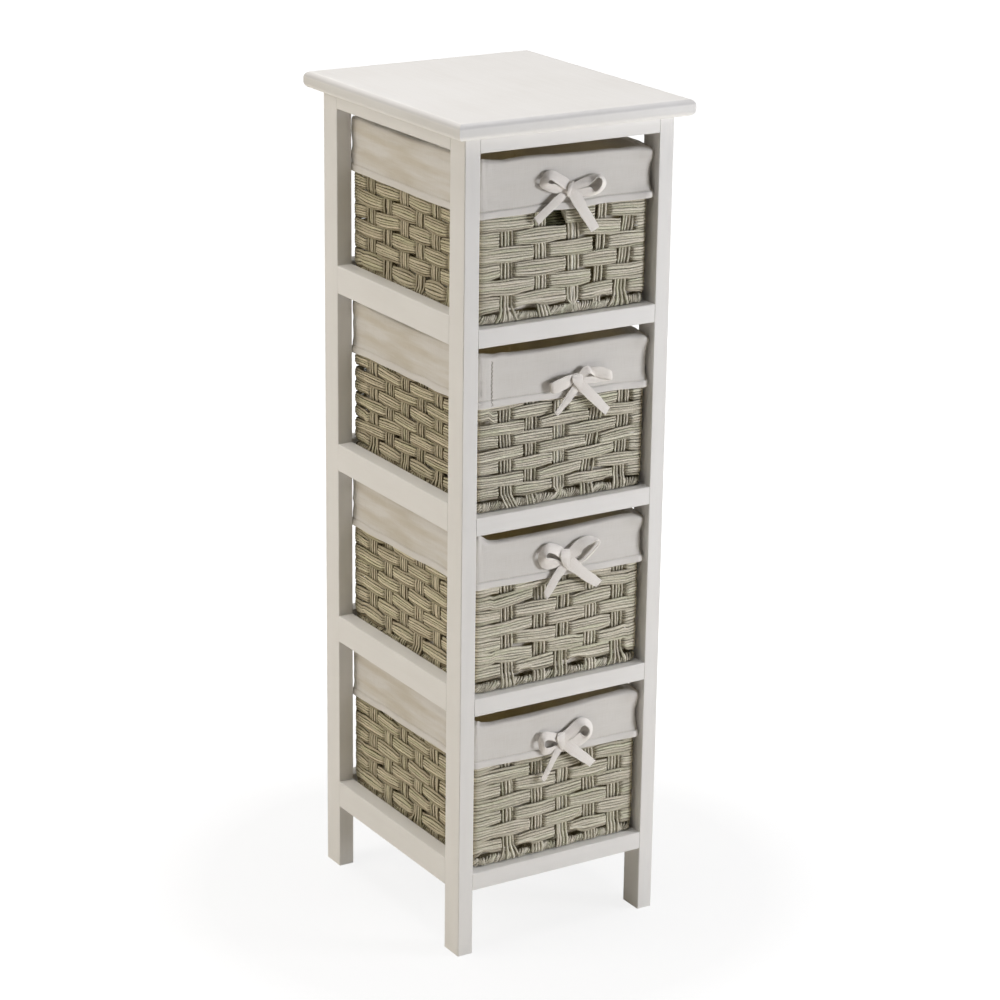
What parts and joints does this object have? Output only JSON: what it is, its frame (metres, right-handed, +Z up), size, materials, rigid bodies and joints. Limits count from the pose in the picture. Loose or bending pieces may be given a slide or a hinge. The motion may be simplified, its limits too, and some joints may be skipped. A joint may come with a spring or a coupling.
{
  "type": "bathroom storage tower",
  "caption": "Narrow free-standing storage tower: a white-painted open timber frame under an overhanging top board, holding a stack of pull-out woven baskets with tied cloth liners.",
  "frame": {"origin": "centre of the tower's footprint on the floor, under the middle of the overall bounding box", "axes": "+Z up, -Y towards the front where the baskets pull out, +X to the right as seen from the front"},
  "size_m": [0.252, 0.29, 0.815],
  "materials": {
    "painted_wood": "satin white paint, brushed",
    "dowel_wood": "raw beech",
    "screw_steel": "zinc plated",
    "basket_wire": "grey lacquered wire",
    "paper_rope": "twisted paper rope, matt",
    "liner_cotton": "off-white plain-woven cotton",
    "ribbon_cotton": "off-white cotton tape"
  },
  "bodies": {
    "frame": {"top_board": "painted_wood", "post_front_left": "painted_wood", "post_front_right": "painted_wood", "post_back_left": "painted_wood", "post_back_right": "painted_wood", "rail_front_top": "painted_wood", "rail_back_top": "painted_wood", "rail_left_top": "painted_wood", "rail_right_top": "painted_wood", "rail_front_1": "painted_wood", "rail_front_2": "painted_wood", "rail_front_3": "painted_wood", "rail_front_4": "painted_wood", "rail_back_1": "painted_wood", "rail_back_2": "painted_wood", "rail_back_3": "painted_wood", "rail_back_4": "painted_wood", "rail_left_1": "painted_wood", "rail_left_2": "painted_wood", "rail_left_3": "painted_wood", "rail_left_4": "painted_wood", "rail_right_1": "painted_wood", "rail_right_2": "painted_wood", "rail_right_3": "painted_wood", "rail_right_4": "painted_wood", "runner_left_1": "painted_wood", "runner_left_2": "painted_wood", "runner_left_3": "painted_wood", "runner_left_4": "painted_wood", "runner_right_1": "painted_wood", "runner_right_2": "painted_wood", "runner_right_3": "painted_wood", "runner_right_4": "painted_wood", "dowels_front": "dowel_wood", "dowels_back": "dowel_wood", "dowels_left": "dowel_wood", "dowels_right": "dowel_wood", "top_screws": "screw_steel", "runner_screws": "screw_steel"},
    "basket_1": {"basket_1_weave": "paper_rope", "basket_1_wire_frame": "basket_wire", "basket_1_liner": "liner_cotton", "basket_1_bow": "ribbon_cotton"},
    "basket_2": {"basket_2_weave": "paper_rope", "basket_2_wire_frame": "basket_wire", "basket_2_liner": "liner_cotton", "basket_2_bow": "ribbon_cotton"},
    "basket_3": {"basket_3_weave": "paper_rope", "basket_3_wire_frame": "basket_wire", "basket_3_liner": "liner_cotton", "basket_3_bow": "ribbon_cotton"},
    "basket_4": {"basket_4_weave": "paper_rope", "basket_4_wire_frame": "basket_wire", "basket_4_liner": "liner_cotton", "basket_4_bow": "ribbon_cotton"}
  },
  "joints": [
    {"name": "basket_1_slide", "type": "slide", "parent": "frame", "child": "basket_1", "axis": [0, -1, 0], "range_m": [0, 0.265]},
    {"name": "basket_2_slide", "type": "slide", "parent": "frame", "child": "basket_2", "axis": [0, -1, 0], "range_m": [0, 0.265]},
    {"name": "basket_3_slide", "type": "slide", "parent": "frame", "child": "basket_3", "axis": [0, -1, 0], "range_m": [0, 0.265]},
    {"name": "basket_4_slide", "type": "slide", "parent": "frame", "child": "basket_4", "axis": [0, -1, 0], "range_m": [0, 0.265]}
  ]
}
